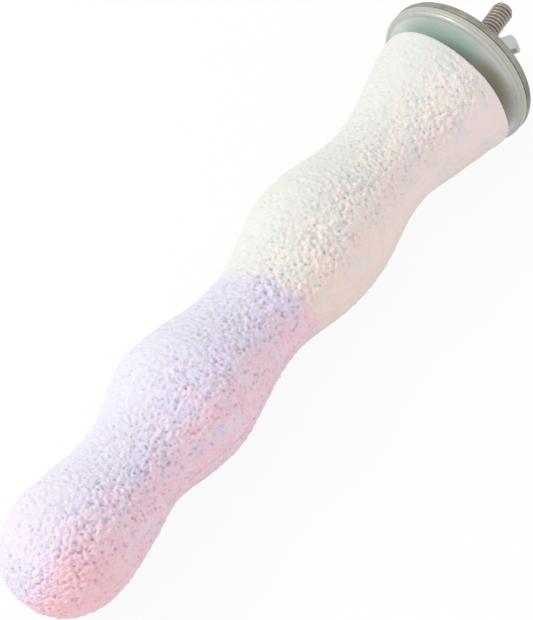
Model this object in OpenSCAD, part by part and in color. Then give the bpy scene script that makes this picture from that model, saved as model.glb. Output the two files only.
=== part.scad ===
// Cast mineral bird perch: a wavy stick of two coloured pours on a threaded stud,
// held to cage wires between two cup washers by a wing nut.
// Origin: the middle of the front washer's clamp side, on the stud's axis.
// +Y runs out along the stud's free end, the stick points to -Y, and +Z is up.

/* [Stick: places along it, from its clamp end] */
// First valley, next to the flared end
valley_1_at = 34.5; // [32:0.5:40]
// First bulge
bulge_1_at = 67; // [62:0.5:72]
// Middle valley
valley_2_at = 101; // [96:0.5:106]
// Second bulge
bulge_2_at = 136; // [130:0.5:140]
// Last valley
valley_3_at = 161.5; // [158:0.5:166]
// Widest place of the round tip
tip_at = 192; // [186:0.5:198]
// Length of the round tip past its widest place
tip_len = 21; // [16:0.5:26]

/* [Stick: diameters] */
// Flared clamp end
flare_d = 43.8; // [40:0.2:48]
// Valleys
valley_d = 30.6; // [28:0.2:33]
// Bulges
bulge_d = 40.2; // [37:0.2:43]
// Round tip
tip_d = 37.2; // [34:0.2:40]
// Rounding of the flared end's rim
rim_r = 1.25; // [0.75:0.25:3]
// How far past the end face the flare's curve would still widen
flare_lead = 3; // [0:0.5:6]
// Angle by which the stick points aside from the stud
stick_lean = 3; // [0:0.5:5]

/* [Stick: where the two pours meet] */
// Place of the seam on the stick's axis
seam_at = 95; // [85:0.5:110]
// Slant of the seam away from square
seam_slant = 13; // [0:1:20]
// Way that the slant faces, round the stick
seam_clock = -24; // [-180:1:180]

/* [Stud] */
// Diameter over the thread's crests
stud_d = 6.35; // [6:0.05:6.5]
// Distance from one turn of the thread to the next
pitch = 1.27; // [1.2:0.01:1.4]
// Whole length of the stud
stud_len = 76.2; // [70:0.1:90]
// How far the stud stands out behind the rear washer
stud_free = 25; // [22:0.5:28]
// Length of the plain nose that ends the thread
nose_len = 1; // [0.8:0.1:1.5]

/* [Cup washers] */
// Outside diameter
washer_d = 48; // [44:0.5:52]
// Hole for the stud
washer_hole_d = 7.1; // [6.8:0.1:7.6]
// Sheet thickness
sheet = 1.2; // [1:0.1:1.4]
// Height of a cup over its lip
cup_h = 2.8; // [2.3:0.1:3.2]
// Outside radius of the bend between floor and lip
bend_r = 1.6; // [1.5:0.1:1.8]
// Gap between the two lips as they lie together
lip_gap = 0.2; // [0.1:0.05:0.4]
// Room in which the washers lie loose in front of the stick's end
loose_gap = 5.4; // [3.5:0.1:7]

/* [Wing nut] */
// Diameter of the hub at its seat
hub_d = 12.6; // [11.5:0.1:13.5]
// Diameter of the hub at its top
hub_top_d = 10.8; // [10:0.1:11.5]
// Height of the hub
hub_h = 8; // [7:0.25:9]
// Span over both wings
wing_span = 29; // [27:0.5:32]
// Height of the wings over the seat
wing_h = 13.3; // [12:0.1:15]
// Angle at which a wing rises from the hub
wing_slope = 48; // [40:1:55]
// Width of the square end of a wing
ear_w = 7.1; // [6:0.1:8]
// Rounding of its corners
ear_r = 0.8; // [0.5:0.1:1.5]
// Thickness of a wing
wing_t = 2; // [1.6:0.1:2.6]
// Angle at which the wings stand at rest
wing_rest = -23; // [-90:1:90]
// Gap between the nut's seat and the washer
seat_gap = 0.05; // [0.02:0.01:0.2]

/* [Anchor nut inside the casting] */
// Width across the flats
anchor_af = 11.1; // [10.5:0.1:12]
// Thickness
anchor_h = 5.6; // [5:0.1:6]
// How far the stud reaches through it
anchor_back = 2; // [1:0.5:4]

/* [Hidden] */

// Facets round a whole turn
round_sides = 96;
small_sides = 64;
thread_sides = 24;
hex_sides = 6;
// Steps that draw the curve from one valley or bulge to the next, the rim and the tip
wave_steps = 14;
rim_steps = 6;
tip_steps = 12;

// Overrun of cuts past the faces that they cut
over = 1;

// Thread form, as shares of the pitch, from the start of one crest to the next
crest_share = 1 / 8;
root_share = 1 / 4;
flank_share = (1 - crest_share - root_share) / 2;
row_shares = [0, crest_share, crest_share + flank_share, crest_share + flank_share + root_share];
rows_a_turn = len(row_shares);
depth_share = 0.6134;
end_share = 0.1;
// Play between the stud's thread and the nut's, over the crests and in the roots
crest_play = 0.12;
root_play = 0.2;
// The nose is a little wider than the thread's roots, and its tip is chamfered
nose_over = 0.15;
nose_chamfer = 0.6;
// Bevel on the corners of the anchor nut
anchor_bevel = 0.8;

stack_back = cup_h - sheet + lip_gap + cup_h;
stud_tip = stack_back + stud_free;
stud_buried = stud_tip - stud_len;
stick_start = -sheet - loose_gap;
nut_seat = stack_back + seat_gap;
crest_r = stud_d / 2;
root_r = crest_r - depth_share * pitch;
nose_r = root_r + nose_over;
// The thread runs on into the shank, so that the two are one piece
shank_end = stick_start - pitch / 2;
// Centres of the two rounded corners of a wing's end, and the way from them to the end's edge
ear_run = ear_w - 2 * ear_r;
ear_low = [wing_span / 2 - ear_r, wing_h - ear_r - ear_run * cos(wing_slope)];
ear_high = [wing_span / 2 - ear_r - ear_run * sin(wing_slope), wing_h - ear_r];
ear_edge = ear_r * [cos(wing_slope), sin(wing_slope)];
anchor_from = stud_buried + anchor_back;

// Places and radii that the stick's outline passes through
stations = [
  [-flare_lead, flare_d / 2],
  [valley_1_at, valley_d / 2],
  [bulge_1_at, bulge_d / 2],
  [valley_2_at, valley_d / 2],
  [bulge_2_at, bulge_d / 2],
  [valley_3_at, valley_d / 2],
  [tip_at, tip_d / 2]
];

// A smooth wave from one station to the next, level at both
function wave(a, b, share) = a + (b - a) * (1 - cos(180 * share)) / 2;
function station_before(at) = max([for (i = [0:len(stations) - 2]) if (stations[i][0] <= at) i]);
function stick_r(at) =
  let(i = station_before(at), a = stations[i], b = stations[i + 1])
  wave(a[1], b[1], (at - a[0]) / (b[0] - a[0]));
// Places along the stick where its outline has a point, from the rim to the tip's widest place
function outline_places() = concat(
  [for (k = [0:wave_steps - 1]) rim_r + (valley_1_at - rim_r) * k / wave_steps],
  [for (i = [1:len(stations) - 2]) for (k = [0:wave_steps - 1])
    stations[i][0] + (stations[i + 1][0] - stations[i][0]) * k / wave_steps]);

// Places a shape drawn along the stud: its +Z goes out along the free end
module on_stud() {
  rotate([-90, 0, 0]) children();
}

// Places a shape drawn along the stick: its +Z goes from the end face to the tip
module on_stick() {
  translate([0, stick_start, 0]) rotate([90, 0, -stick_lean]) children();
}

// The whole stick before it is parted at the seam
module stick_solid() {
  full_r = stick_r(rim_r);
  rim = [for (k = [0:rim_steps - 1]) let(a = 90 * k / rim_steps)
    [full_r - rim_r + rim_r * sin(a), rim_r - rim_r * cos(a)]];
  side = [for (at = outline_places()) [stick_r(at), at]];
  tip = [for (k = [0:tip_steps]) let(a = 90 * k / tip_steps)
    [tip_d / 2 * cos(a), tip_at + tip_len * sin(a)]];
  rotate_extrude($fn = round_sides) polygon(concat([[0, 0]], rim, side, tip));
}

// The space on the clamp side of the seam
module clamp_side_of_seam() {
  reach = tip_at + tip_len;
  translate([0, 0, seam_at]) rotate([0, 0, seam_clock]) rotate([0, seam_slant, 0])
    translate([-reach, -reach, -2 * reach]) cube([2 * reach, 2 * reach, 2 * reach]);
}

// The anchor nut's outside, which is also the hollow that it leaves in the casting
module anchor_form() {
  corner_r = anchor_af / 2 / cos(180 / hex_sides);
  // The two cones that bevel the corners run on past them, and meet halfway up
  bevel_r = corner_r - anchor_bevel;
  translate([0, 0, anchor_from]) intersection() {
    cylinder(r = corner_r, h = anchor_h, $fn = hex_sides);
    rotate_extrude($fn = small_sides) polygon([[0, 0], [bevel_r, 0],
      [bevel_r + anchor_h / 2, anchor_h / 2], [bevel_r, anchor_h], [0, anchor_h]]);
  }
}

// One flat ring of points round the stud's axis
function ring(r, z, n) = [for (k = [0:n - 1]) [r * cos(360 * k / n), r * sin(360 * k / n), z]];

// A right-hand thread between two flat ends, as one closed skin. Its rows follow the helix, and all
// threads drawn with the same pitch are in step, so that a nut's thread meets the stud's.
// With fade, the crests rise out of the roots over one turn at each end.
module thread(r_crest, r_root, from, to, fade) {
  n = thread_sides;
  last = n - 1;
  z0 = pitch * ceil(from / pitch + end_share);
  turns = floor((to - z0) / pitch - end_share) - 1;
  rows = rows_a_turn * turns;
  end_r = fade ? r_root : r_crest;
  function lift(i) = pitch * (floor(i / rows_a_turn) + row_shares[i % rows_a_turn]);
  function swell(z) = fade ? max(0, min(1, (z - z0) / pitch - 1, turns - (z - z0) / pitch)) : 1;
  function row_r(i, z) = r_root + (i % rows_a_turn < 2 ? (r_crest - r_root) * swell(z) : 0);
  function row_point(i, k) = let(z = z0 + lift(i) + pitch * k / n, r = row_r(i, z))
    [r * cos(360 * k / n), r * sin(360 * k / n), z];
  // Number of a point of the helix. Past the last side it is the same side, one turn on.
  function at(i, k) = (2 + i + rows_a_turn * floor(k / n)) * n + k % n;
  function quad(a, b, c, d) = [[a, b, d], [d, b, c]];
  points = concat(ring(end_r, from, n), ring(end_r, to, n),
    [for (i = [0:rows]) for (k = [0:last]) row_point(i, k)]);
  low_cap = [[for (k = [0:last]) k]];
  high_cap = [[for (k = [0:last]) n + last - k]];
  low_band = [for (k = [0:last - 1]) each quad(k, at(0, k), at(0, k + 1), k + 1)];
  low_wedge = concat([[last, at(0, last), 0], [0, at(0, last), at(0, 0)]],
    [for (i = [0:rows_a_turn - 1]) [at(0, last), at(i + 1, 0), at(i, 0)]]);
  helix = [for (i = [0:rows - 1]) for (k = [0:last]) if (k < last || i < rows - rows_a_turn)
    each quad(at(i, k), at(i + 1, k), at(i + 1, k + 1), at(i, k + 1))];
  high_wedge = concat([[at(rows, last), n + last, at(rows, 0)], [at(rows, 0), n + last, n]],
    [for (i = [rows - rows_a_turn:rows - 1]) [at(i, last), at(i + 1, last), at(rows, 0)]]);
  high_band = [for (k = [0:last - 1]) each quad(at(rows, k), n + k, n + k + 1, at(rows, k + 1))];
  polyhedron(points, concat(low_cap, high_cap, low_band, low_wedge, helix, high_wedge, high_band),
    convexity = 10);
}

// A cup washer's section: x is the radius, and the floor's clamp side lies on y = 0
module cup_section() {
  bend_at = washer_d / 2 - bend_r;
  union() {
    translate([washer_hole_d / 2, -sheet]) square([bend_at - washer_hole_d / 2, sheet]);
    translate([washer_d / 2 - sheet, bend_r - sheet]) square([sheet, cup_h - bend_r]);
    translate([bend_at, bend_r - sheet]) intersection() {
      difference() {
        circle(r = bend_r, $fn = small_sides);
        circle(r = bend_r - sheet, $fn = small_sides);
      }
      translate([0, -bend_r]) square(bend_r);
    }
  }
}

module cup_washer() {
  rotate_extrude($fn = round_sides) cup_section();
}

// Where a line from a point touches a circle, on the side given by 1 or -1
function touch(point, centre, r, side) =
  let(gap = centre - point, way = atan2(gap[1], gap[0]) + side * asin(r / norm(gap)) + side * 90)
  centre + r * [cos(way), sin(way)];

// One wing: x is the distance from the stud's axis and y the height over the seat
module wing_outline() {
  root_low = [hub_top_d / 4, seat_gap];
  root_high = [hub_top_d / 4, hub_h];
  union() {
    translate(ear_low) circle(r = ear_r, $fn = small_sides);
    translate(ear_high) circle(r = ear_r, $fn = small_sides);
    polygon([root_low, touch(root_low, ear_low, ear_r, -1), ear_low + ear_edge, ear_high + ear_edge,
      touch(root_high, ear_high, ear_r, 1), root_high]);
  }
}

module wing() {
  rotate([90, 0, 0]) translate([0, 0, -wing_t / 2]) linear_extrude(height = wing_t) wing_outline();
}

module cream_casting() {
  color("#f3efe4") difference() {
    on_stick() intersection() {
      stick_solid();
      clamp_side_of_seam();
    }
    on_stud() union() {
      translate([0, 0, stud_buried]) cylinder(d = stud_d, h = -stud_buried, $fn = small_sides);
      anchor_form();
    }
  }
}

module lilac_casting() {
  color("#e6d8ee") on_stick() difference() {
    stick_solid();
    clamp_side_of_seam();
  }
}

module stud() {
  color("#8a8680") on_stud() union() {
    translate([0, 0, stud_buried])
      cylinder(d = stud_d, h = shank_end - stud_buried, $fn = small_sides);
    thread(crest_r, root_r, shank_end - pitch / 2, stud_tip - nose_len / 2, true);
    translate([0, 0, stud_tip - nose_len])
      cylinder(r = nose_r, h = nose_len - nose_chamfer, $fn = small_sides);
    translate([0, 0, stud_tip - nose_chamfer])
      cylinder(r1 = nose_r, r2 = nose_r - nose_chamfer, h = nose_chamfer, $fn = small_sides);
  }
}

module anchor_nut() {
  color("#8a8680") on_stud() difference() {
    anchor_form();
    translate([0, 0, anchor_from - over])
      cylinder(d = stud_d, h = anchor_h + 2 * over, $fn = small_sides);
  }
}

module front_washer() {
  color("#b9bfb8") on_stud() cup_washer();
}

module rear_washer() {
  color("#a3a196") on_stud()
    translate([0, 0, 2 * (cup_h - sheet) + lip_gap]) mirror([0, 0, 1]) cup_washer();
}

module wing_nut() {
  play_r = 1 / cos(180 / thread_sides);
  color("#c3c9c0") on_stud() difference() {
    translate([0, 0, nut_seat]) rotate([0, 0, wing_rest]) union() {
      cylinder(d1 = hub_d, d2 = hub_top_d, h = hub_h, $fn = small_sides);
      wing();
      mirror([1, 0, 0]) wing();
    }
    thread(play_r * (crest_r + crest_play), play_r * (root_r + root_play),
      nut_seat - 2 * pitch, nut_seat + hub_h + 2 * pitch, false);
  }
}

cream_casting();
lilac_casting();
stud();
anchor_nut();
front_washer();
rear_washer();
wing_nut();
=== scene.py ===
"""A wavy cast mineral bird perch: two pastel pours on a threaded stud, two cup washers and a wing nut."""
import math

import bmesh
import bpy
import numpy as np
from mathutils import Matrix, Vector


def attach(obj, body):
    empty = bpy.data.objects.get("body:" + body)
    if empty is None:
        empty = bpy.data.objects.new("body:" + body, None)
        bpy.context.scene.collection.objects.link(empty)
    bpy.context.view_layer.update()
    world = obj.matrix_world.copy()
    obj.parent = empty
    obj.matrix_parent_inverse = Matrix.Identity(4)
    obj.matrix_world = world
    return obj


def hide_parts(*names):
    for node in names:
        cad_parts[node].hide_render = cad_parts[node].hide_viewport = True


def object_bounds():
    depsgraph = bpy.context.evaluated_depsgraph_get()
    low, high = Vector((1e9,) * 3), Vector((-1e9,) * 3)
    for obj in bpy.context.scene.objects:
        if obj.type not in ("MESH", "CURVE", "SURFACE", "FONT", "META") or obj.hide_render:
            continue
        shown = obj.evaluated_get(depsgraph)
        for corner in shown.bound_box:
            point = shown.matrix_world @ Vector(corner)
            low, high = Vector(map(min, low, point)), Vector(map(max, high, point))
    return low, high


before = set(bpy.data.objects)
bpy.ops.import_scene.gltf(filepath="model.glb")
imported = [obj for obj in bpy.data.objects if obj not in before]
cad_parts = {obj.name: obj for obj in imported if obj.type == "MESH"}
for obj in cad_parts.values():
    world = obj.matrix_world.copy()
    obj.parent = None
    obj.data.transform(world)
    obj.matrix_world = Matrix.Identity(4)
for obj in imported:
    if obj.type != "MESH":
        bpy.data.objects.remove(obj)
cad_low, cad_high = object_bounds()

MM = 0.001
TURN = 2 * math.pi

# The stick, in millimetres from its clamp end face: the places of its valleys, bulges and tip
VALLEY_1_AT = 34.5
BULGE_1_AT = 67.0
VALLEY_2_AT = 101.0
BULGE_2_AT = 136.0
VALLEY_3_AT = 161.5
TIP_AT = 192.0
TIP_LEN = 20.8
# The power of the tip's round. That of an ellipse is 1, and a blunter one is less.
TIP_BLUNT = 0.88
# The stick's diameters, and the rounding of the clamp end's rim
FLARE_D = 43.8
VALLEY_D = 30.6
VALLEY_2_D = 29.8
BULGE_D = 40.2
TIP_D = 37.2
RIM_R = 1.25
# The flare would be widest this far before the end face
FLARE_LEAD = 3.0
# The end face isn't quite square to the stick: its slope across, which fades out along the stick
END_SLOPE = 0.055
END_SLOPE_TO = 20.0
# Where the two pours meet: place on the axis, slant and the way that the slant faces
SEAM_AT = 95.0
SEAM_SLANT = math.radians(13)
SEAM_CLOCK = math.radians(-24)
# The way across the stick from its pale upper left side, where the key light falls, to its rosy lower right
# side,
# in shade: the angle round the stick, and the lean in the frame of the painted light and shade across it,
# which is a little more than the stick's
LIT_TO_SHADE_CLOCK = math.radians(-23)
LIT_TO_SHADE_LEAN = math.radians(3.64)
# The stick's place in the frame: its end face on the stud's axis, and its lean aside
STICK_START = -6.6
STICK_LEAN = math.radians(3)

# The side's radius at places along the stick
STATIONS = [
    (-FLARE_LEAD, FLARE_D / 2),
    (VALLEY_1_AT, VALLEY_D / 2),
    (BULGE_1_AT, BULGE_D / 2),
    (VALLEY_2_AT, VALLEY_2_D / 2),
    (BULGE_2_AT, BULGE_D / 2),
    (VALLEY_3_AT, VALLEY_D / 2),
    (TIP_AT, TIP_D / 2),
]
# The hand poured stick sways about its axis: places along it, and how far it stands to its rosy side
SWAY = [(0.0, 0.45), (34.5, 0.05), (67.0, -0.45), (86.0, 0.25), (101.0, 0.2), (136.0, -0.45), (161.5, 0.5),
        (172.0, 1.25), (192.0, 0.95), (213.0, 0.9)]
# The clamp end isn't quite round: the angle round the stick at which each form of it stands, how narrow it
# is, and how far it stands out at places along the stick
END_FORMS = [
    (math.radians(-5), 20, [(0.0, 1.3), (3.5, 0.0)]),
    (math.radians(-30), 4, [(0.0, -0.4), (4.0, -0.8), (10.0, -0.6), (20.0, 0.2), (34.5, 0.0)]),
    (math.radians(70), 6, [(0.0, -1.2), (9.0, 0.0)]),
    (math.radians(130), 8, [(0.0, 0.6), (9.0, 0.0)]),
]

# The stud and its thread, which starts a little inside the casting
STUD_R = 3.175
PITCH = 1.27
THREAD_DEPTH = 0.78
THREAD_FROM = STICK_START - 2.0
STUD_TIP = 29.6
STUD_BURIED = -46.6
BORE_PLAY = 0.02
NOSE_R = 2.546
NOSE_LEN = 1.0
NOSE_CHAMFER = 0.6
NOSE_MIDWAY = 0.4

# The cup washers: outside radius, hole, sheet, cup height, outside bend and the gap between their lips
WASHER_R = 24.0
WASHER_HOLE_R = 3.55
SHEET = 1.2
CUP_H = 2.8
BEND_R = 1.6
LIP_GAP = 0.2
# The two washers hang on the stud in the play of their holes, turned a little so that they face this way
WASHERS_FACE = (0.078, 1.0, -0.03)
WASHERS_SHIFT = -0.4

# The wing nut
NUT_SEAT = 4.65
HUB_R = 6.3
HUB_TOP_R = 5.4
HUB_H = 8.0
WING_SPAN = 29.0
WING_H = 13.3
WING_SLOPE = math.radians(48)
EAR_W = 7.1
EAR_R = 0.8
WING_T = 2.0
WING_REST = math.radians(-23)
THREAD_PLAY = 0.14

# The middle of the stick's end face in the frame, and the stick's own directions there: across level, up, and
# from the clamp end towards the tip
START = np.array([0.0, STICK_START, 0.0])
SIDE = np.array([math.cos(STICK_LEAN), -math.sin(STICK_LEAN), 0.0])
UP = np.array([0.0, 0.0, 1.0])
ALONG = np.array([-math.sin(STICK_LEAN), -math.cos(STICK_LEAN), 0.0])

# The camera looks at this point on the stick's axis, which lies at these pixels of the 533 by 620 frame
IMAGE_W = 533
IMAGE_H = 620
AIM_ALONG = 94.0
AIM_PX = 265.86
AIM_PY = 304.74
VIEW_AZIMUTH = math.radians(30.25)
VIEW_ELEVATION = math.radians(52.0)
VIEW_DISTANCE = 1800.0
FOCAL_PX = 6405.0
SENSOR = 36.0
CLIP_START = 0.05
CLIP_END = 20.0


def make_camera():
    """The photograph's viewing angle, from far off with a long lens."""
    back = Vector((
        math.sin(VIEW_AZIMUTH) * math.cos(VIEW_ELEVATION),
        -math.cos(VIEW_AZIMUTH) * math.cos(VIEW_ELEVATION),
        math.sin(VIEW_ELEVATION),
    ))
    right = Vector((math.cos(VIEW_AZIMUTH), math.sin(VIEW_AZIMUTH), 0))
    up = back.cross(right)
    aim = Vector(START + ALONG * AIM_ALONG)
    shift_right = (IMAGE_W / 2 - AIM_PX) / FOCAL_PX * VIEW_DISTANCE
    shift_down = (IMAGE_H / 2 - AIM_PY) / FOCAL_PX * VIEW_DISTANCE
    place = aim + back * VIEW_DISTANCE + right * shift_right - up * shift_down
    data = bpy.data.cameras.new("camera")
    data.sensor_width = SENSOR
    data.lens = FOCAL_PX / IMAGE_H * SENSOR
    data.clip_start = CLIP_START
    data.clip_end = CLIP_END
    camera = bpy.data.objects.new("camera", data)
    camera.location = place * MM
    camera.rotation_mode = "QUATERNION"
    camera.rotation_quaternion = (-back).to_track_quat("-Z", "Y")
    bpy.context.scene.collection.objects.link(camera)
    bpy.context.scene.camera = camera


# Multipliers that scatter a lattice cell's three numbers and its seed, and shifts and multipliers that then
# scatter the bits of their sum
CELL_STRIDES = (374761393, 668265263, 1442695041)
SEED_STRIDE = 1013904223
SCATTER = ((13, 1274126177), (15, 1103515245), (16, 1))
BITS = 0xFFFFFFFF
# Brings the smooth noise to its range
NOISE_GAIN = 1.6
# How far a pit's centre keeps from its cell's sides, and the power of a pit's round
PIT_MARGIN = 0.1
PIT_ROUND = 1.5


def lattice(cell, seed):
    """A fixed random number from 0 to 1 for each lattice cell, given as whole numbers."""
    mixed = (sum(cell[..., k] * CELL_STRIDES[k] for k in range(3)) + seed * SEED_STRIDE) & BITS
    for shift, factor in SCATTER:
        mixed = ((mixed ^ (mixed >> shift)) * factor) & BITS
    return mixed / BITS


def noise(points, size, seed):
    """Smooth noise from about -1 to 1, with lumps about size wide."""
    scaled = points / size
    cell = np.floor(scaled).astype(np.int64)
    inside = scaled - cell
    ease = inside ** 3 * (inside * (inside * 6 - 15) + 10)
    total = np.zeros(points.shape[:-1])
    for corner in np.ndindex(2, 2, 2):
        corner = np.array(corner)
        at = cell + corner
        slope = np.stack([2 * lattice(at, seed + k) - 1 for k in range(3)], -1)
        weight = np.prod(np.where(corner == 1, ease, 1 - ease), -1)
        total += weight * np.sum(slope * (inside - corner), -1)
    return total * NOISE_GAIN


def pits(points, size, seed, share, small, large):
    """How deep each point lies in a round pit, from 0 to 1. A share of the cells, size wide, hold a pit
    of a radius from small to large."""
    scaled = points / size
    home = np.floor(scaled).astype(np.int64)
    deepest = np.zeros(points.shape[:-1])
    for step in np.ndindex(3, 3, 3):
        cell = home + np.array(step) - 1
        spot = np.stack([lattice(cell, seed + k) for k in range(3)], -1)
        centre = cell + PIT_MARGIN + (1 - 2 * PIT_MARGIN) * spot
        radius = small + (large - small) * lattice(cell, seed + 3) ** 2
        gap = np.linalg.norm(scaled - centre, axis=-1) * size / radius
        dip = np.clip(1 - gap ** 2, 0, 1) ** PIT_ROUND * (lattice(cell, seed + 4) < share)
        deepest = np.maximum(deepest, dip)
    return deepest


def smooth_step(value, low, high):
    """Rises smoothly from 0 at low to 1 at high."""
    share = np.clip((value - low) / (high - low), 0, 1)
    return share * share * (3 - 2 * share)


def wave(stations, at):
    """The value at a place along the stick, by a smooth wave from one station's value to the next."""
    places = np.array([s[0] for s in stations])
    values = np.array([s[1] for s in stations])
    i = np.clip(np.searchsorted(places, at, side="right") - 1, 0, len(stations) - 2)
    share = np.clip((at - places[i]) / (places[i + 1] - places[i]), 0, 1)
    return values[i] + (values[i + 1] - values[i]) * (1 - np.cos(math.pi * share)) / 2


def end_form(angle, along):
    """How far the clamp end stands out of its round form."""
    total = 0 * angle
    for clock, narrow, stations in END_FORMS:
        total += wave(stations, along) * np.clip(np.cos(angle - clock), 0, 1) ** narrow
    return total


# Rounds in which the seam's place settles
SEAM_ROUNDS = 6


def seam_place(angle):
    """Where the seam crosses the stick's side at an angle round it."""
    at = np.full(angle.shape, SEAM_AT)
    for _ in range(SEAM_ROUNDS):
        at = SEAM_AT - math.tan(SEAM_SLANT) * wave(STATIONS, at) * np.cos(angle - SEAM_CLOCK)
    return at


# Points round the stick, and rings of points along each part of it
COLUMNS = 312
CREAM_ROWS = 292
LILAC_ROWS = 234
TIP_ROWS = 80
RIM_ROWS = 12
FACE_ROWS = 8
SLOPE_STEP = 0.05
# Edges of the pours sharper than this, in degrees, are left crisp
POUR_SHARP = 70

# Noises of the rough surface, by lump size and seed, and how high each stands
SWELL = (14.0, 1)
SWELL_H = 0.15
LUMPS = (1.35, 21)
LUMP_H = 0.54
GRAINS = (0.75, 31)
GRAIN_H = 0.29
# Patches that are rougher or smoother than the rest: size and seed, mean and swing
PATCHES = (9.0, 11)
PATCH_MEAN = 0.85
PATCH_SWING = 0.5
# Pits, by cell size, seed, share of the cells that hold one, smallest and largest radius, and how deep they
# are
PITS = (1.8, 51, 0.9, 0.4, 0.85)
PIT_DEEP = 0.36
SMALL_PITS = (1.2, 71, 0.6, 0.35, 0.5)
SMALL_DEEP = 0.2
HOLES = (6.0, 61, 0.25, 0.6, 1.0)
HOLE_DEEP = 0.5
# The surface of one pour turns into the other's this far on each side of the seam
POUR_BLEND = 8
# The rosy side came out of the mould smoother, most of all on the cream pour. For each pour: between which
# places across the stick, and by how much.
CREAM_WORN = (7, 13)
CREAM_SMOOTH = 0.7
LILAC_WORN = (8, 16)
LILAC_SMOOTH = 0.4
# So did the pale side: between which places the other way, by how much, and how much less on the lilac pour
PALE_WORN = (2, 12)
PALE_SMOOTH = 0.5
PALE_SMOOTH_LESS = 0.15
# The surface is rougher away from the clamp end: from and to which place along the stick, and by how much
ROUGHER = (40, 75)
ROUGHER_BY = 0.25
# The mould's parting line: a fine crease on both sides of the stick, and a small step across it. It is
# fainter on the cream pour and runs out on the tip.
LINE_DEEP = 0.22
LINE_STEP = 0.1
LINE_W = 0.3
LINE_ON_CREAM = 0.3
LINE_RUNS_OUT = (190, 206)
# Creases between the lumps: how much the grains shift them, and from and to which depth and how dark their
# painted shade shows
CREASE_GRAIN = 0.4
CREASE_SHOWS = (0.1, 0.7)
CREASE_DARK = 0.5
# How dark the painted shade in the small pits is, and how much fainter all the painted shade marks are where
# the surface is worn
SMALL_DARK = 0.7
WORN_FAINT = 0.6
# The share of the relief left at the clamp end's rim, and from and to which place along the stick it rises
RIM_RELIEF = 0.25
RIM_RISES = (0.5, 4.0)


def relief(local):
    """The rough surface: its height over the plain outline, how deep each point lies in a pit or crease,
    which the material darkens as painted shade, and how near it is to the parting line."""
    across = local[..., 0] * math.cos(LIT_TO_SHADE_CLOCK) + local[..., 1] * math.sin(LIT_TO_SHADE_CLOCK)
    off_line, along = local[..., 1], local[..., 2]
    outer = smooth_step(along, SEAM_AT - POUR_BLEND, SEAM_AT + POUR_BLEND)
    worn = (1 - outer) * smooth_step(across, *CREAM_WORN)
    rosy = CREAM_SMOOTH * worn + LILAC_SMOOTH * outer * smooth_step(across, *LILAC_WORN)
    pale = (PALE_SMOOTH - PALE_SMOOTH_LESS * outer) * smooth_step(-across, *PALE_WORN)
    rough = (1 - rosy - pale) * (1 + ROUGHER_BY * smooth_step(along, *ROUGHER))
    patch = PATCH_MEAN + PATCH_SWING * noise(local, *PATCHES)
    swell = SWELL_H * noise(local, *SWELL)
    lumps = noise(local, *LUMPS)
    grains = noise(local, *GRAINS)
    pit = pits(local, *PITS)
    small = pits(local, *SMALL_PITS)
    hole = pits(local, *HOLES)
    dent = PIT_DEEP * pit * (1 + rough) / 2 + SMALL_DEEP * small * rough + HOLE_DEEP * hole
    shown = (LINE_ON_CREAM + (1 - LINE_ON_CREAM) * outer) * (1 - smooth_step(along, *LINE_RUNS_OUT))
    line = shown * np.exp(-(off_line / LINE_W) ** 2)
    step = LINE_STEP * smooth_step(off_line, -LINE_W, LINE_W) - LINE_DEEP * line
    height = swell + rough * patch * (LUMP_H * lumps + GRAIN_H * grains) - dent + step
    # Marks for painted shade in the material: creases and pits are darkened by them
    crease = CREASE_DARK * smooth_step(-lumps - CREASE_GRAIN * grains, *CREASE_SHOWS) * rough
    deep = np.maximum.reduce([pit, SMALL_DARK * small, hole, crease]) * (1 - WORN_FAINT * worn)
    return height, np.clip(deep, 0, 1), line


def rim_fade(along):
    """The share of the relief at a place along the stick, which is lower at the clamp end."""
    return RIM_RELIEF + (1 - RIM_RELIEF) * smooth_step(along, *RIM_RISES)


def in_frame(local):
    """Points of the stick in the frame, from its own directions."""
    return START + local[..., :1] * SIDE + local[..., 1:2] * UP + local[..., 2:] * ALONG


def round_angles(columns):
    """Even angles round an axis."""
    return np.linspace(0, TURN, columns, endpoint=False)


def mesh_object(name, points, faces):
    """An object of millimetre points, in the scene."""
    mesh = bpy.data.meshes.new(name)
    mesh.from_pydata([tuple(p) for p in np.asarray(points) * MM], [], faces)
    made = bpy.data.objects.new(name, mesh)
    bpy.context.scene.collection.objects.link(made)
    return made


def set_in_frame(piece, body, node):
    """The piece rides on a body and stands for a CAD node, which it hides."""
    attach(piece, body)
    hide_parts(node)


def add_piece(name, points, faces, body, slot, node):
    """A piece of millimetre points that rides on a body and stands for a CAD node."""
    piece = mesh_object(name, points, faces)
    piece.data.validate()
    set_in_frame(piece, body, node)
    return piece


def shade(piece, sharp):
    """Smooth shading, with edges sharper than an angle in degrees left crisp."""
    piece.data.shade_smooth()
    piece.data.set_sharp_from_angle(angle=math.radians(sharp))


def fix_normals(piece):
    """Turns all faces of a closed piece outwards."""
    mesh = bmesh.new()
    mesh.from_mesh(piece.data)
    bmesh.ops.recalc_face_normals(mesh, faces=mesh.faces)
    mesh.to_mesh(piece.data)
    mesh.free()


def ring_faces(rows, columns):
    """Faces between rings of points that follow each other, seen from outside."""
    faces = []
    for i in range(rows - 1):
        low = i * columns
        high = low + columns
        for k in range(columns):
            n = (k + 1) % columns
            faces.append((low + k, high + k, high + n, low + n))
    return faces


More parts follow.
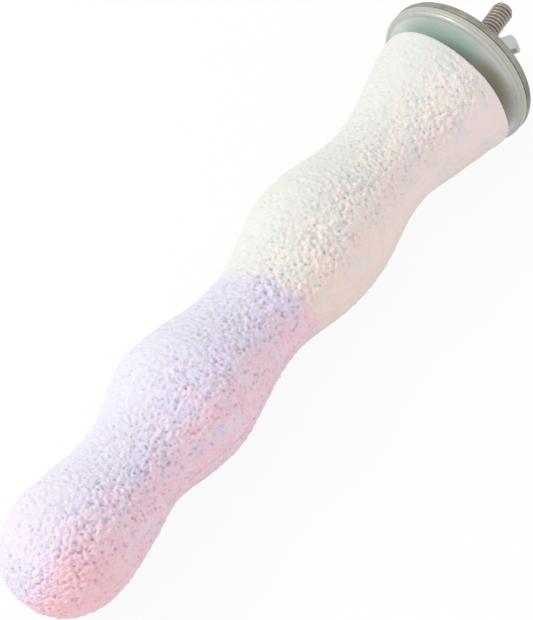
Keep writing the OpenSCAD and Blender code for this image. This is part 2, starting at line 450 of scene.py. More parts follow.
def stick_rings(radius, along, slope_r, slope_along, fade):
    """Displaced rings of the stick's surface, and the marks of their points. All are arrays of rows by
    columns."""
    angle = round_angles(COLUMNS) + 0 * radius
    cos, sin = np.cos(angle), np.sin(angle)
    radius = radius + end_form(angle, along)
    local = np.stack([radius * cos, radius * sin, along], -1)
    normal = np.stack([slope_r * cos, slope_r * sin, slope_along], -1)
    height, pit, line = relief(local)
    local = local + normal * (height * fade)[..., None]
    local[..., 2] += END_SLOPE * local[..., 0] * np.clip(1 - along / END_SLOPE_TO, 0, 1)
    shift = wave(SWAY, along)
    local[..., 0] += shift * math.cos(LIT_TO_SHADE_CLOCK)
    local[..., 1] += shift * math.sin(LIT_TO_SHADE_CLOCK)
    return local, np.stack([pit * fade, line], -1)


def side_rings(low, high, rows):
    """Rings of the stick's side from low to high, which are places along it for each column."""
    along = low + (high - low) * np.linspace(0, 1, rows)[:, None]
    slope = (wave(STATIONS, along + SLOPE_STEP) - wave(STATIONS, along - SLOPE_STEP)) / (2 * SLOPE_STEP)
    size = np.sqrt(1 + slope ** 2)
    return stick_rings(wave(STATIONS, along), along, 1 / size, -slope / size, rim_fade(along))


def keep_marks(piece, before, rings, after):
    """Keeps how deep each point lies in a pit, which the material darkens as painted shade, and how near it
    is to the parting line, for the material. The points before and after the rings have neither."""
    marks = np.concatenate([np.zeros((before, 2)), rings.reshape(-1, 2), np.zeros((after, 2))])
    for name, values in zip(("pit", "line"), marks.T):
        stored = piece.data.attributes.new(name, "FLOAT", "POINT")
        stored.data.foreach_set("value", values.astype(np.float32))


def make_cream():
    """The half next to the clamp: a flared end with the stud's bore, a rim and the side to the seam."""
    angle = round_angles(COLUMNS)
    flat = float(wave(STATIONS, np.array(RIM_R))) - RIM_R
    bend = np.linspace(0, math.pi / 2, RIM_ROWS, endpoint=False)[:, None] + 0 * angle
    rim, rim_marks = stick_rings(flat + RIM_R * np.sin(bend), RIM_R - RIM_R * np.cos(bend), np.sin(bend),
                                 -np.cos(bend), rim_fade(RIM_R * bend / 2))
    side, side_marks = side_rings(RIM_R + 0 * angle, seam_place(angle), CREAM_ROWS)
    # The bore follows the stud, which stands askew to the stick by its lean
    bore = np.stack([np.cos(angle), np.sin(angle)], -1) * (STUD_R + BORE_PLAY)
    bottom = np.stack([bore[:, 0], STUD_BURIED + 0 * angle, bore[:, 1]], -1)
    mouth = np.stack([bore[:, 0] / math.cos(STICK_LEAN), bore[:, 1], 0 * angle], -1)
    face_share = np.linspace(0, 1, FACE_ROWS, endpoint=False)[1:, None, None]
    face = mouth + (rim[0] - mouth) * face_share
    rings = np.concatenate([bottom[None], in_frame(mouth)[None], in_frame(np.concatenate([face, rim, side]))])
    seam_centre = START + ALONG * SEAM_AT
    points = np.concatenate([rings.reshape(-1, 3), seam_centre[None]])
    count = len(rings)
    last = (count - 1) * COLUMNS
    centre = count * COLUMNS
    faces = ring_faces(count, COLUMNS)
    faces += [(last + k, centre, last + (k + 1) % COLUMNS) for k in range(COLUMNS)]
    faces.append(tuple(range(COLUMNS)))
    piece = add_piece("cream_pour", points, faces, "stick", "cream_mineral", "cream_casting")
    unmarked = (count - RIM_ROWS - CREAM_ROWS) * COLUMNS
    keep_marks(piece, unmarked, np.concatenate([rim_marks, side_marks]), 1)
    shade(piece, POUR_SHARP)
    return piece


def make_lilac():
    """The outer half: the side from the seam, and the round tip."""
    angle = round_angles(COLUMNS)
    side, side_marks = side_rings(seam_place(angle), TIP_AT + 0 * angle, LILAC_ROWS + 1)
    bend = np.linspace(0, math.pi / 2, TIP_ROWS + 1)[1:-1, None] + 0 * angle
    across, reach = np.cos(bend) ** TIP_BLUNT, np.sin(bend) ** TIP_BLUNT
    out_r = TIP_LEN * across ** (2 / TIP_BLUNT - 1)
    out_along = TIP_D / 2 * reach ** (2 / TIP_BLUNT - 1)
    size = np.hypot(out_r, out_along)
    tip, tip_marks = stick_rings(TIP_D / 2 * across, TIP_AT + TIP_LEN * reach, out_r / size,
                                 out_along / size, 1 + 0 * bend)
    rings = np.concatenate([side, tip])
    ends = np.array([[0, 0, SEAM_AT], [0, 0, TIP_AT + TIP_LEN]])
    points = in_frame(np.concatenate([rings.reshape(-1, 3), ends]))
    count = len(rings)
    last = (count - 1) * COLUMNS
    seam_centre = count * COLUMNS
    pole = seam_centre + 1
    faces = ring_faces(count, COLUMNS)
    faces += [((k + 1) % COLUMNS, seam_centre, k) for k in range(COLUMNS)]
    faces += [(last + k, pole, last + (k + 1) % COLUMNS) for k in range(COLUMNS)]
    piece = add_piece("lilac_pour", points, faces, "stick", "lilac_mineral", "lilac_casting")
    keep_marks(piece, 0, np.concatenate([side_marks, tip_marks]), 2)
    shade(piece, POUR_SHARP)
    return piece


def lathe(name, outline, columns, body, slot, node):
    """A closed outline of (radius, place along the stud) points turned round the stud's axis."""
    outline = np.array(outline)
    angle = round_angles(columns)
    radius, place = outline[:, :1], outline[:, 1:]
    points = np.stack([radius * np.cos(angle), place + 0 * angle, radius * np.sin(angle)], -1)
    rows = len(outline)
    faces = []
    for i in range(rows):
        low = i * columns
        high = (i + 1) % rows * columns
        for k in range(columns):
            n = (k + 1) % columns
            faces.append((low + k, low + n, high + n, high + k))
    return add_piece(name, points.reshape(-1, 3), faces, body, slot, node)


def arc(centre, radius, low, high, steps):
    """Points of an arc, with its angles in degrees from the radius direction towards the stud's free end. The
    radius is one number, or one for each point."""
    turns = np.radians(np.linspace(low, high, steps + 1))
    radii = np.broadcast_to(radius, turns.shape)
    return [(centre[0] + r * math.cos(a), centre[1] + r * math.sin(a)) for r, a in zip(radii, turns)]


WASHER_COLUMNS = 256
BEND_STEPS = 30
EDGE_STEPS = 4
EDGE_R = 0.3
# Rings of points across a cup's floor, and how far they keep from its hole and its bend
CUP_FLOOR_STEPS = 8
CUP_FLOOR_MARGIN = 1.0
# A fine groove runs round the bend, at this angle of it and this wide in degrees
GROOVE_AT = -27
GROOVE_W = 6
GROOVE_DEEP = 0.22
WASHER_SHARP = 35


def outer_bend(centre):
    """The outside of a cup's bend, with its groove."""
    turns = np.linspace(-90, 0, BEND_STEPS + 1)
    radius = BEND_R - GROOVE_DEEP * np.exp(-((turns - GROOVE_AT) / GROOVE_W) ** 2)
    return arc(centre, radius, -90, 0, BEND_STEPS)


def cup_outline():
    """Section of a cup washer. Its floor's clamp side lies at 0 and its lip stands towards the free end."""
    bend_at = WASHER_R - BEND_R
    lip = CUP_H - SHEET
    wall = WASHER_R - SHEET
    floor_from = WASHER_HOLE_R + CUP_FLOOR_MARGIN
    outline = arc((WASHER_HOLE_R + EDGE_R, -SHEET + EDGE_R), EDGE_R, 180, 270, EDGE_STEPS)
    floor = np.linspace(floor_from, bend_at - CUP_FLOOR_MARGIN, CUP_FLOOR_STEPS)
    outline += [(r, -SHEET) for r in floor]
    outline += outer_bend((bend_at, BEND_R - SHEET))
    outline += arc((WASHER_R - EDGE_R, lip - EDGE_R), EDGE_R, 0, 90, EDGE_STEPS)
    outline += arc((wall + EDGE_R, lip - EDGE_R), EDGE_R, 90, 180, EDGE_STEPS)
    outline += arc((bend_at, BEND_R - SHEET), BEND_R - SHEET, 0, -90, EDGE_STEPS)
    outline += [(floor_from, 0)]
    outline += arc((WASHER_HOLE_R + EDGE_R, -EDGE_R), EDGE_R, 90, 180, EDGE_STEPS)
    return outline


def hang(piece):
    """Turns a washer about the middle of the pair, so that it faces the way that the pair hangs."""
    middle = Vector((0, CUP_H - SHEET + LIP_GAP / 2, 0)) * MM
    turn = Vector((0, 1, 0)).rotation_difference(Vector(WASHERS_FACE)).to_matrix().to_4x4()
    shifted = Matrix.Translation(middle + Vector((0, WASHERS_SHIFT, 0)) * MM)
    piece.data.transform(shifted @ turn @ Matrix.Translation(-middle))


def make_washers():
    """The two cup washers, lip to lip."""
    facing = 2 * (CUP_H - SHEET) + LIP_GAP
    turned = [(r, facing - y) for r, y in reversed(cup_outline())]
    front = lathe("front_cup", cup_outline(), WASHER_COLUMNS, "front_washer", "front_washer_zinc",
                  "front_washer")
    rear = lathe("rear_cup", turned, WASHER_COLUMNS, "rear_washer", "rear_washer_zinc", "rear_washer")
    for piece in (front, rear):
        hang(piece)
        shade(piece, WASHER_SHARP)
    return front, rear


THREAD_COLUMNS = 72
THREAD_ANGLES = round_angles(THREAD_COLUMNS)[None, :]
# Rings of points to a turn of the thread
THREAD_SAMPLES = 16
# Where the thread's side leaves its rounded root and meets its rounded crest, as shares of its wave
THREAD_SIDE = (0.1, 0.85)
STUD_SHARP = 50


def thread_radius(place, play=0.0):
    """Radius of the right-hand thread at all angles, with its crests and roots rounded."""
    phase = (place / PITCH - THREAD_ANGLES / TURN) % 1.0
    ridge = smooth_step(0.5 + 0.5 * np.cos(TURN * phase), *THREAD_SIDE)
    return STUD_R + play - THREAD_DEPTH * (1 - ridge)


def thread_skin(radius, place):
    """Points and faces of a closed round skin along the stud's axis, from rings of radii and places."""
    points = np.stack([radius * np.cos(THREAD_ANGLES), place, -radius * np.sin(THREAD_ANGLES)], -1)
    faces = [tuple(reversed(f)) for f in ring_faces(len(radius), THREAD_COLUMNS)]
    last = (len(radius) - 1) * THREAD_COLUMNS
    faces.append(tuple(range(THREAD_COLUMNS)))
    faces.append(tuple(last + k for k in reversed(range(THREAD_COLUMNS))))
    return points.reshape(-1, 3), faces


def make_stud():
    """The stud: a plain buried shank, the thread, and a chamfered nose."""
    nose_at = STUD_TIP - NOSE_LEN
    places = np.arange(THREAD_FROM, nose_at + PITCH / 2, PITCH / THREAD_SAMPLES)[:, None]
    swell = smooth_step(nose_at + PITCH / 2 - places, 0, PITCH)
    thread = NOSE_R + (thread_radius(places) - NOSE_R) * swell
    shank = [(STUD_R, STUD_BURIED), (STUD_R, THREAD_FROM - PITCH / 2)]
    nose = [(NOSE_R - NOSE_CHAMFER * cut, STUD_TIP - NOSE_CHAMFER * up)
            for cut, up in ((0, 1), (NOSE_MIDWAY, NOSE_MIDWAY), (1, 0))]
    plain = 0 * THREAD_ANGLES
    radius = np.concatenate([r + plain for r, _ in shank] + [thread] + [r + plain for r, _ in nose])
    place = np.array([[y] for _, y in shank] + list(places) + [[y] for _, y in nose]) + 0 * radius
    piece = add_piece("threaded_stud", *thread_skin(radius, place), "stick", "stud_steel", "stud")
    fix_normals(piece)
    shade(piece, STUD_SHARP)
    return piece


# How the wing nut's casting is melted into one: voxel, rounds of smoothing, and a lift that keeps it clear of
# its seat
CAST_VOXEL = 0.24
CAST_SMOOTH = 6
CAST_LIFT = 0.08
HUB_COLUMNS = 96
HUB_EDGE = 0.4
# The wings start inside the hub, are thicker at their root and bulge at their end
WING_ROOT = HUB_TOP_R / 2
WING_ROOT_T = 3.2
WING_BULGE = 0.3
CORNER_STEPS = 5
# The bore widens by this at both ends of the nut, and its cutter stands this far past them
BORE_FLARE = 0.7
PAST_SEAT = 1.0
PAST_TOP = 3.0
NUT_SHARP = 40


def touch(point, centre, radius, side):
    """Angle in degrees, about a circle's centre, at which a line from a point touches it on one side."""
    gap = centre - point
    way = math.atan2(gap[1], gap[0]) + side * (math.asin(radius / np.linalg.norm(gap)) + math.pi / 2)
    return math.degrees(way)


def wing_outline():
    """One wing: distance from the stud's axis and height over the seat, round a square end that slants up."""
    run = EAR_W - 2 * EAR_R
    slope = math.degrees(WING_SLOPE)
    outward = np.array([math.cos(WING_SLOPE), math.sin(WING_SLOPE)])
    low = np.array([WING_SPAN / 2 - EAR_R, WING_H - EAR_R - run * outward[0]])
    high = np.array([low[0] - run * outward[1], WING_H - EAR_R])
    root_low = np.array([WING_ROOT, 0.0])
    root_high = np.array([WING_ROOT, HUB_H])
    outline = [tuple(root_low)]
    outline += arc(low, EAR_R, touch(root_low, low, EAR_R, -1), slope, CORNER_STEPS)
    outline.append(tuple((low + high) / 2 + (EAR_R + WING_BULGE) * outward))
    outline += arc(high, EAR_R, slope, touch(root_high, high, EAR_R, 1), CORNER_STEPS)
    outline.append(tuple(root_high))
    return np.array(outline)


def wing_skin(side):
    """Points and faces of the wing on one side, a little thicker at its root."""
    outline = wing_outline()
    share = (outline[:, 0] - WING_ROOT) / (WING_SPAN / 2 - WING_ROOT)
    half = (WING_ROOT_T + (WING_T - WING_ROOT_T) * np.clip(share, 0, 1)) / 2
    near = np.stack([side * outline[:, 0], -side * half, outline[:, 1]], -1)
    far = near * (1, -1, 1)
    n = len(outline)
    faces = [tuple(range(n)), tuple(reversed(range(n, 2 * n)))]
    faces += [(k, n + k, n + (k + 1) % n, (k + 1) % n) for k in range(n)]
    return np.concatenate([near, far]), faces


def hub_skin():
    """Points and faces of the hub, solid and with rounded edges."""
    angle = round_angles(HUB_COLUMNS)
    rows = [(HUB_R - HUB_EDGE, 0.0), (HUB_R, HUB_EDGE), (HUB_TOP_R, HUB_H - HUB_EDGE),
            (HUB_TOP_R - HUB_EDGE, HUB_H)]
    points = np.array([[(r * math.cos(a), r * math.sin(a), z) for a in angle] for r, z in rows])
    faces = [tuple(reversed(f)) for f in ring_faces(len(rows), HUB_COLUMNS)]
    last = (len(rows) - 1) * HUB_COLUMNS
    faces.append(tuple(reversed(range(HUB_COLUMNS))))
    faces.append(tuple(last + k for k in range(HUB_COLUMNS)))
    return points.reshape(-1, 3), faces


def on_nut(points):
    """Turns points drawn over the nut's seat, with height as z, to the nut's place on the stud."""
    cos, sin = math.cos(WING_REST), math.sin(WING_REST)
    x = points[:, 0] * cos - points[:, 1] * sin
    y = points[:, 0] * sin + points[:, 1] * cos
    return np.stack([x, points[:, 2] + NUT_SEAT + CAST_LIFT, -y], -1)


def bake(piece):
    """Applies the piece's modifiers to its mesh."""
    depsgraph = bpy.context.evaluated_depsgraph_get()
    mesh = bpy.data.meshes.new_from_object(piece.evaluated_get(depsgraph))
    piece.modifiers.clear()
    piece.data = mesh


def make_wing_nut():
    """The cast wing nut: hub and wings run into each other with soft edges, and the bore is threaded."""
    points, faces = [], []
    for skin in (hub_skin(), wing_skin(1), wing_skin(-1)):
        first = sum(len(p) for p in points)
        points.append(on_nut(skin[0]))
        faces += [tuple(first + k for k in face) for face in skin[1]]
    nut = mesh_object("cast_wing_nut", np.concatenate(points), faces)
    fix_normals(nut)
    melt = nut.modifiers.new("melt", "REMESH")
    melt.mode = "VOXEL"
    melt.voxel_size = CAST_VOXEL * MM
    soften = nut.modifiers.new("soften", "SMOOTH")
    soften.iterations = CAST_SMOOTH
    bake(nut)
    seat = NUT_SEAT + CAST_LIFT
    top = seat + HUB_H
    place = np.arange(seat - PAST_SEAT, top + PAST_TOP, PITCH / THREAD_SAMPLES)[:, None] + 0 * THREAD_ANGLES
    flare = np.clip(BORE_FLARE - np.minimum(abs(place - seat), abs(top - place)), 0, None)
    bore = mesh_object("nut_bore", *thread_skin(thread_radius(place, THREAD_PLAY) + flare, place))
    fix_normals(bore)
    cut = nut.modifiers.new("cut", "BOOLEAN")
    cut.operation = "DIFFERENCE"
    cut.solver = "EXACT"
    cut.object = bore
    bake(nut)
    bpy.data.objects.remove(bore)
    set_in_frame(nut, "wing_nut", "wing_nut")
    shade(nut, NUT_SHARP)
    return nut


# Detail of the noise that makes edges between colours uneven
WANDER_DETAIL = 3.0


class Nodes:
    """Short names for adding and joining shader nodes."""

    def __init__(self, owner):
        self.tree = owner.node_tree

    def add(self, kind, inputs=(), **settings):
        """A node with its settings. An input takes a value, or a link from another node's output."""
        node = self.tree.nodes.new(kind)
        for name, value in settings.items():
            setattr(node, name, value)
        for name, value in dict(inputs).items():
            if isinstance(value, bpy.types.NodeSocket):
                self.tree.links.new(value, node.inputs[name])
            else:
                node.inputs[name].default_value = value
        return node

    def object_place(self):
        return self.add("ShaderNodeTexCoord").outputs["Object"]

    def attribute(self, name):
        return self.add("ShaderNodeAttribute", attribute_name=name).outputs["Fac"]

    def noise(self, place, scale, detail, rough=0.5):
        inputs = {"Vector": place, "Scale": scale, "Detail": detail, "Roughness": rough}
        return self.add("ShaderNodeTexNoise", inputs).outputs["Fac"]

    def ramp(self, value, low, high, start=0.0, end=1.0):
        """Goes smoothly from start, where the value is low, to end, where it is high."""
        inputs = {"Value": value, "From Min": low, "From Max": high, "To Min": start, "To Max": end}
        return self.add("ShaderNodeMapRange", inputs, interpolation_type="SMOOTHSTEP").outputs["Result"]

    def mix(self, share, first, second):
        """A colour between two, by the second's share."""
        return self.add("ShaderNodeMix", {0: share, 6: first, 7: second}, data_type="RGBA").outputs[2]

    def math(self, operation, first, second=0.0):
        return self.add("ShaderNodeMath", {0: first, 1: second}, operation=operation).outputs[0]

    def times(self, first, second):
        return self.math("MULTIPLY", first, second)

    def dot(self, place, direction):
        node = self.add("ShaderNodeVectorMath", {0: place, 1: tuple(direction)}, operation="DOT_PRODUCT")
        return node.outputs["Value"]

    def wander(self, place, scale, reach):
        """Noise that shifts a place, by half of the reach at most either way."""
        return self.times(self.math("SUBTRACT", self.noise(place, scale, WANDER_DETAIL), 0.5), reach)

    def bump(self, height, strength, distance, under=None):
        """A bump, on top of the bump under it."""
        inputs = {"Height": height, "Strength": strength, "Distance": distance}
        if under:
            inputs["Normal"] = under
        return self.add("ShaderNodeBump", inputs).outputs["Normal"]

    def seen(self):
        """1 for what the camera sees, also in gloss or through glass, and 0 for the light on the object."""
        path = self.add("ShaderNodeLightPath").outputs
        return self.math("MAXIMUM", self.math("MAXIMUM", path["Is Camera Ray"], path["Is Glossy Ray"]),
                         path["Is Transmission Ray"])

    def surface(self, shader, kind="ShaderNodeOutputMaterial"):
        self.add(kind, {"Surface": shader})


def new_material(name):
    """A material without nodes, and its nodes' short names."""
    made = bpy.data.materials.new(name)
    made.use_nodes = True
    made.node_tree.nodes.clear()
    return made, Nodes(made)


def colour(red, green, blue):
    """A colour as seen on the screen, from 0 to 255, as the shader's linear values."""
    parts = [c / 255 for c in (red, green, blue)]
    return (*[c / 12.92 if c <= 0.04045 else ((c + 0.055) / 1.055) ** 2.4 for c in parts], 1.0)


# Materials work in metres. Across the stick, from its pale side, where the key light falls, to its rosy side
# in shade
LIT_TO_SHADE_WAY = np.array([
    math.cos(LIT_TO_SHADE_CLOCK) * math.cos(LIT_TO_SHADE_LEAN),
    -math.cos(LIT_TO_SHADE_CLOCK) * math.sin(LIT_TO_SHADE_LEAN),
    math.sin(LIT_TO_SHADE_CLOCK),
])
# Square to the seam, towards the tip
SEAM_WAY = ALONG + math.tan(SEAM_SLANT) * (math.cos(SEAM_CLOCK) * SIDE + math.sin(SEAM_CLOCK) * UP)
SEAM_OFFSET = (SEAM_AT + START @ SEAM_WAY) * MM
# How far one pour's colour bleeds into the other on the pale side and on the rosy side, where these sides
# are, and scale and reach of the noise that makes the edge uneven
SEAM_BLEED = (0.0045, 0.0018)
SEAM_BLEED_ACROSS = (-0.011, 0.0)
SEAM_WOBBLE = (330.0, 0.004)
# Where the colour shifts across the stick and along its rosy side, and scale and reach of the noise that
# makes this uneven. The shift across the stick is painted light and shade: the pale side is darker where the
# key light is strongest, and the side in shade is pink.
PALE_TO_MIDDLE = (-0.012, 0.004)
MIDDLE_TO_ROSY = (0.0, 0.013)
ROSY_TO_FAR = (0.03, 0.11)
PIGMENT_WANDER = (70.0, 0.014)
# Mottles: the scale of each one's noise and its detail, from and to which level it shows, their strength, and
# the share of it on the pale side
MOTTLE_SCALES = (190.0, 230.0, 310.0)
MOTTLE_DETAIL = 1.0
MOTTLE_SHOWS = (0.42, 0.78)
MOTTLE_MOST = 0.65
MOTTLE_PALE = 0.25
# The tip is pink: from and to where along the stick and across it the pink grows, and its strength across it.
# Its growth towards the side in shade is painted shade.
TIP_PINK = colour(250, 199, 204)
TIP_PINK_ALONG = (0.186, 0.212)
TIP_PINK_ACROSS = (-0.002, 0.013)
TIP_PINK_SHARE = (0.08, 0.7)
# The painted shade in the pits and creases: from and to which depth and where across the stick it grows, and
# its strength there
PIT_SHADE_DEPTH = (0.1, 0.9)
PIT_SHADE_ACROSS = (-0.012, 0.002)
PIT_SHADE_SHARE = (0.3, 0.52)
# The parting line's darker colour, partly dark pigment in its crease and partly painted shade: where across
# the stick it grows, and its strength there
LINE_PIGMENT_AND_SHADE_ACROSS = (0.0, 0.008)
LINE_PIGMENT_AND_SHADE_SHARE = (0.0, 0.4)
# Fine bumps on the mineral: scale and detail of their noises, their heights, and where across the stick they
# get weaker towards the rosy side and the pale side, and how strong they are there
MINERAL_LUMPS = (800.0, 2.0)
MINERAL_LUMP_H = 0.0006
MINERAL_GRIT = (2200.0, 3.0, 0.6)
MINERAL_GRIT_H = 0.0002
ROSY_BUMPS = (0.006, 0.014, 1.0, 0.5)
PALE_BUMPS = (-0.014, -0.004, 0.6, 1.0)
MINERAL_ROUGH = 0.92
MINERAL_SHINE = 0.25


def pour_colour(n, place, pale, middle, rosy, far_rosy, mottles, pit_shade, line_pigment_and_shade):
    """Colour that shifts across the stick as painted light and shade, darker where the key light is strongest
    and pink on the side in shade, with soft mottles, pits and creases darkened as painted shade, and a darker
    parting line that is partly painted shade.
    """
    across = n.math("ADD", n.dot(place, LIT_TO_SHADE_WAY), n.wander(place, *PIGMENT_WANDER))
    along = n.dot(place, ALONG)
    # Painted light and shade: darker pale colour on the lit side, the middle colour, and pink on the side in
    # shade
    body = n.mix(n.ramp(across, *PALE_TO_MIDDLE), pale, middle)
    shaded_pink = n.mix(n.ramp(along, *ROSY_TO_FAR), rosy, far_rosy)
    body = n.mix(n.ramp(across, *MIDDLE_TO_ROSY), body, shaded_pink)
    shown = n.ramp(across, *PALE_TO_MIDDLE, MOTTLE_PALE, 1.0)
    for scale, mottle in zip(MOTTLE_SCALES, mottles):
        spots = n.ramp(n.noise(place, scale, MOTTLE_DETAIL), *MOTTLE_SHOWS, 0.0, MOTTLE_MOST)
        body = n.mix(n.times(spots, shown), body, mottle)
    tip = n.times(n.ramp(along, *TIP_PINK_ALONG), n.ramp(across, *TIP_PINK_ACROSS, *TIP_PINK_SHARE))
    body = n.mix(tip, body, TIP_PINK)
    # Painted shade in the pits and creases, stronger on the side in shade
    pit_shaded = n.ramp(across, *PIT_SHADE_ACROSS, *PIT_SHADE_SHARE)
    body = n.mix(n.times(n.ramp(n.attribute("pit"), *PIT_SHADE_DEPTH), pit_shaded), body, pit_shade)
    # The parting line darkened, partly by pigment in its crease and partly by painted shade, on the side in
    # shade
    lined = n.ramp(across, *LINE_PIGMENT_AND_SHADE_ACROSS, *LINE_PIGMENT_AND_SHADE_SHARE)
    return n.mix(n.times(n.attribute("line"), lined), body, line_pigment_and_shade)


def mineral(name, own, other, beyond):
    """Porous cast mineral. The other pour's colour bleeds in at the seam. Beyond is 1 for the pour on the
    tip's side of the seam, and -1 for the other."""
    made, n = new_material(name)
    place = n.object_place()
    across = n.dot(place, LIT_TO_SHADE_WAY)
    from_seam = n.math("ADD", n.math("SUBTRACT", n.dot(place, SEAM_WAY), SEAM_OFFSET),
                       n.wander(place, *SEAM_WOBBLE))
    reach = n.ramp(across, *SEAM_BLEED_ACROSS, *SEAM_BLEED)
    bleed = n.ramp(n.times(n.math("DIVIDE", from_seam, reach), beyond), -1.0, 1.0, 1.0, 0.0)
    body = n.mix(bleed, pour_colour(n, place, **own), pour_colour(n, place, **other))
    rough = n.times(n.ramp(across, *ROSY_BUMPS), n.ramp(across, *PALE_BUMPS))
    lumps = n.bump(n.noise(place, *MINERAL_LUMPS), rough, MINERAL_LUMP_H)
    grit = n.bump(n.noise(place, *MINERAL_GRIT), rough, MINERAL_GRIT_H, lumps)
    skin = n.add("ShaderNodeBsdfPrincipled", {"Base Color": body, "Roughness": MINERAL_ROUGH,
                                              "Specular IOR Level": MINERAL_SHINE, "Normal": grit})
    n.surface(skin.outputs["BSDF"])
    return made


# Zinc: scale and detail of the noises of its clouds, its fine grain and its turning lines round the stud's
# axis, and the levels of the clouds between which its tint and its gloss change
ZINC_CLOUD = (90.0, 4.0, 0.6)
ZINC_FINE = (900.0, 3.0, 0.6)
ZINC_LINES = (2500.0, 2.0)
CLOUD_TINT = (0.35, 0.68)
CLOUD_GLOSS = (0.3, 0.7)
# The pale flecks: their colour, between which levels of the fine grain they show, and their strength
FLECK = colour(235, 238, 235)
FLECK_SHOWS = (0.3, 0.8, 0.0, 0.15)
# Between these distances from the stud's axis the painted reflections and painted shade of the casting end,
# and a washer's rim colour starts
REFLECTION_ENDS = (0.0165, 0.0225)
RIM_STARTS = (0.0218, 0.0229)
# Strengths of the bumps of the lines and the fine grain, and their height
LINES_BUMP = 0.35
FINE_BUMP = 0.08
ZINC_BUMP_H = 0.0001


def zinc(name, base, tint, rough, metallic, painted_reflections=(), rim=None):
    """Zinc plated steel, with a cloudy tint, uneven gloss and fine turning lines round the stud's axis. Rough
    is its least and greatest roughness, and rim the colour of a washer's bend and wall."""
    made, n = new_material(name)
    place = n.object_place()
    parts = n.add("ShaderNodeSeparateXYZ", {"Vector": place}).outputs
    radius = n.math("SQRT", n.math("ADD", n.times(parts["X"], parts["X"]), n.times(parts["Z"], parts["Z"])))
    turned = n.add("ShaderNodeCombineXYZ", {"X": radius, "Y": parts["Y"]}).outputs["Vector"]
    cloud = n.noise(place, *ZINC_CLOUD)
    fine = n.noise(place, *ZINC_FINE)
    body = n.mix(n.ramp(cloud, *CLOUD_TINT), base, tint)
    # Painted reflections of the casting and painted shade by it on the washer's face, strongest near the stud
    for reflection, start, end, strength in painted_reflections:
        spread = n.ramp(n.dot(place, LIT_TO_SHADE_WAY), start, end, 0.0, strength)
        body = n.mix(n.times(spread, n.ramp(radius, *REFLECTION_ENDS, 1.0, 0.0)), body, reflection)
    if rim:
        body = n.mix(n.ramp(radius, *RIM_STARTS), body, rim)
    body = n.mix(n.ramp(fine, *FLECK_SHOWS), body, FLECK)
    rings = n.bump(n.noise(turned, *ZINC_LINES), LINES_BUMP, ZINC_BUMP_H)
    grain = n.bump(fine, FINE_BUMP, ZINC_BUMP_H, rings)
    skin = n.add("ShaderNodeBsdfPrincipled", {"Base Color": body, "Metallic": metallic, "Normal": grain,
                                              "Roughness": n.ramp(cloud, *CLOUD_GLOSS, *rough)})
    n.surface(skin.outputs["BSDF"])
    return made


def give(piece, material):
    piece.data.materials.clear()
    piece.data.materials.append(material)


# The floor: how far it reaches and how far it lies under the washers, in millimetres, its grey, and its share
# of white to the camera
FLOOR_REACH = 3000.0
FLOOR_GAP = 0.5
FLOOR_GREY = 0.9
FLOOR_WHITE = 0.9
# The light from all round
WORLD_LEVEL = 0.84
# The key light: the way to it from the object's middle, its distance and size in metres, and its power
KEY_WAY = (-0.593, -0.521, 0.617)
KEY_DISTANCE = 0.9
KEY_SIZE = 0.3
KEY_POWER = 3.25


def make_floor():
    """A plain pale floor just under the washers. The camera and glossy surfaces see it near white, with the
    object's shadow."""
    made, n = new_material("floor")
    plain = n.add("ShaderNodeBsdfDiffuse", {"Color": (FLOOR_GREY, FLOOR_GREY, FLOOR_GREY, 1)})
    white = n.add("ShaderNodeEmission", {"Color": (1, 1, 1, 1), "Strength": 1.0})
    mixed = n.add("ShaderNodeMixShader", {0: n.times(n.seen(), FLOOR_WHITE), 1: plain.outputs["BSDF"],
                                          2: white.outputs["Emission"]})
    n.surface(mixed.outputs["Shader"])
    level = cad_low.z / MM - FLOOR_GAP
    corners = [(x * FLOOR_REACH, y * FLOOR_REACH, level) for x, y in ((-1, -1), (1, -1), (1, 1), (-1, 1))]
    floor = mesh_object("floor", corners, [(0, 1, 2, 3)])
    give(floor, made)


def make_world():
    """Soft light from all round. The camera and glossy surfaces see it white."""
    world = bpy.data.worlds.new("world")
    world.use_nodes = True
    world.node_tree.nodes.clear()
    n = Nodes(world)
    strength = n.math("ADD", n.times(n.seen(), 1 - WORLD_LEVEL), WORLD_LEVEL)
    back = n.add("ShaderNodeBackground", {"Color": (1, 1, 1, 1), "Strength": strength})
    n.surface(back.outputs["Background"], "ShaderNodeOutputWorld")
    bpy.context.scene.world = world


def make_key_light():
    """A square soft light that faces the middle of the object."""
    data = bpy.data.lights.new("key", "AREA")
    data.shape = "SQUARE"
    data.size = KEY_SIZE
    data.energy = KEY_POWER
    light = bpy.data.objects.new("key", data)
    way = Vector(KEY_WAY).normalized()
    light.location = (cad_low + cad_high) / 2 + way * KEY_DISTANCE
    light.rotation_mode = "QUATERNION"
    light.rotation_quaternion = way.to_track_quat("Z", "Y")
    bpy.context.scene.collection.objects.link(light)
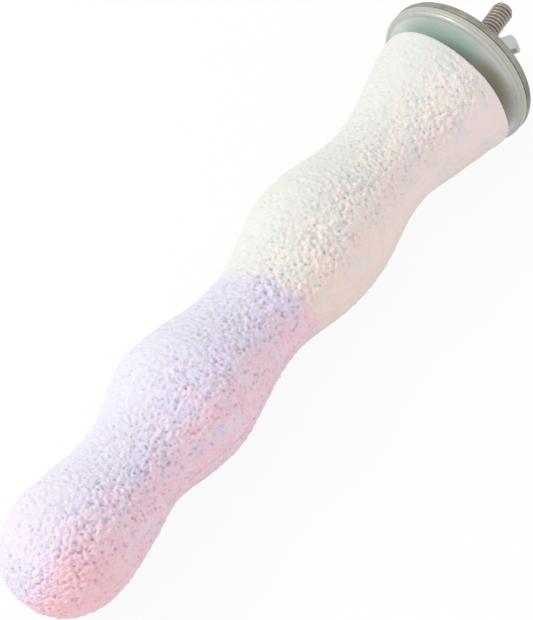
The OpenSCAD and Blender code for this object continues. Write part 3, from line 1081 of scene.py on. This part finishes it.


# The pours' colours. Pale, middle and rosy are colours for the lit side, the middle and the shaded side, as
# painted light and shade. The pits' colour is painted shade, and the parting line's colour is partly painted
# shade.
CREAM = {
    "pale": colour(225, 227, 220),
    "middle": colour(241, 237, 231),
    "rosy": colour(247, 229, 228),
    "far_rosy": colour(249, 221, 213),
    "mottles": (colour(220, 230, 231), colour(248, 230, 228), colour(249, 232, 216)),
    "pit_shade": colour(172, 180, 176),
    "line_pigment_and_shade": colour(214, 186, 186),
}
LILAC = {
    "pale": colour(222, 221, 231),
    "middle": colour(231, 226, 246),
    "rosy": colour(246, 216, 230),
    "far_rosy": colour(249, 209, 220),
    "mottles": (colour(220, 223, 247), colour(247, 217, 236), colour(246, 228, 230)),
    "pit_shade": colour(146, 138, 184),
    "line_pigment_and_shade": colour(178, 136, 176),
}
# The metals: base colour and cloudy tint
FRONT_ZINC = (colour(226, 230, 230), colour(206, 214, 210))
REAR_ZINC = (colour(158, 153, 141), colour(134, 130, 116))
NUT_ZINC = (colour(208, 218, 210), colour(184, 196, 188))
STEEL = (colour(178, 170, 162), colour(150, 142, 136))
# The front washer's painted reflections of the casting and its painted shade next to it: colour, the two
# places across the stick that each spreads between, and strength
MINT = (colour(184, 222, 202), 0.004, -0.006, 0.6)
OLIVE = (colour(176, 180, 146), 0.001, 0.010, 0.75)
COOL = (colour(196, 206, 212), 0.014, 0.021, 0.85)
FRONT_RIM = colour(184, 184, 176)

make_camera()
give(make_cream(), mineral("cream_mineral", CREAM, LILAC, -1))
give(make_lilac(), mineral("lilac_mineral", LILAC, CREAM, 1))
front_cup, rear_cup = make_washers()
give(front_cup, zinc("front_zinc", *FRONT_ZINC, rough=(0.3, 0.45), metallic=0.35, rim=FRONT_RIM,
                     painted_reflections=(MINT, OLIVE, COOL)))
give(rear_cup, zinc("rear_zinc", *REAR_ZINC, rough=(0.45, 0.6), metallic=0.7))
give(make_stud(), zinc("stud_steel", *STEEL, rough=(0.25, 0.45), metallic=0.6))
give(make_wing_nut(), zinc("nut_zinc", *NUT_ZINC, rough=(0.25, 0.4), metallic=0.6))
give(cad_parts["anchor_nut"], zinc("anchor_zinc", *STEEL, rough=(0.3, 0.5), metallic=0.6))

make_floor()
make_world()
make_key_light()
bpy.context.scene.view_settings.view_transform = "Standard"
